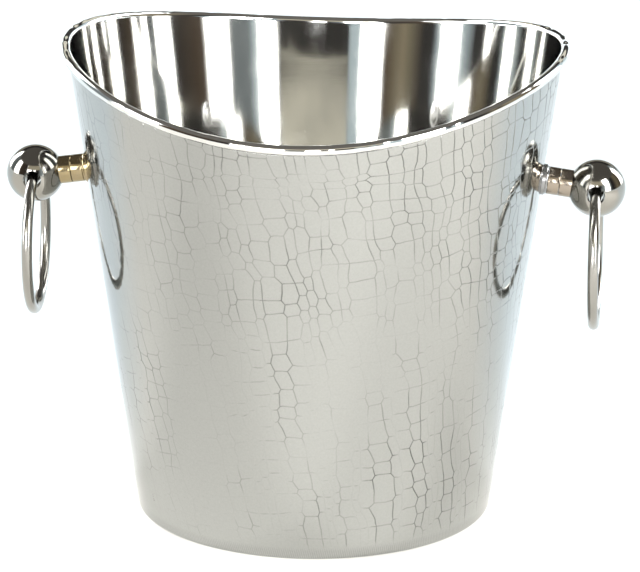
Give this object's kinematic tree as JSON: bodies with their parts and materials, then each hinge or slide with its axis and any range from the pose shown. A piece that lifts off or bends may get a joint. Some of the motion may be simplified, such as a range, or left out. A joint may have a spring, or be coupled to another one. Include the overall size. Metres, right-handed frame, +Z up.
{
  "type": "champagne bucket",
  "caption": "Tapered polished-steel champagne bucket with a saddle-shaped curled rim, a reptile-skin textured wall, and a loose ring hanging from a ball handle on each side.",
  "frame": {"origin": "middle of the underside, on the surface that the bucket stands on", "axes": "+Z up; the two handles lie along X; the rim dips towards +Y and -Y"},
  "size_m": [0.2748, 0.2192, 0.2143],
  "materials": {
    "polished_steel": "mirror polish with fine brushing round the inside",
    "textured_steel": "satin polish, pressed with a reptile-skin pattern",
    "bright_nickel": "bright nickel plate",
    "brassy_nickel": "thin bright plate, the brass showing through",
    "plain_steel": "plain machined steel",
    "black_rubber": "matte"
  },
  "bodies": {
    "bucket": {"inner_bucket": "polished_steel", "rim_wire": "plain_steel", "textured_sleeve": "textured_steel", "right_flange": "bright_nickel", "right_inner_spacer": "brassy_nickel", "right_outer_spacer": "brassy_nickel", "right_ball": "bright_nickel", "right_screw": "plain_steel", "right_washer": "plain_steel", "right_seal": "black_rubber", "left_flange": "bright_nickel", "left_inner_spacer": "brassy_nickel", "left_outer_spacer": "brassy_nickel", "left_ball": "bright_nickel", "left_screw": "plain_steel", "left_washer": "plain_steel", "left_seal": "black_rubber"},
    "right_ring": {"right_ring": "bright_nickel"},
    "left_ring": {"left_ring": "bright_nickel"}
  },
  "joints": [
    {"name": "right_ring_swing", "type": "hinge", "parent": "bucket", "child": "right_ring", "pos_m": [0.12475, 0, 0.15004], "axis": [0, -1, 0], "range_deg": [-27, 187]},
    {"name": "left_ring_swing", "type": "hinge", "parent": "bucket", "child": "left_ring", "pos_m": [-0.12475, 0, 0.15004], "axis": [0, 1, 0], "range_deg": [-27, 187]}
  ]
}
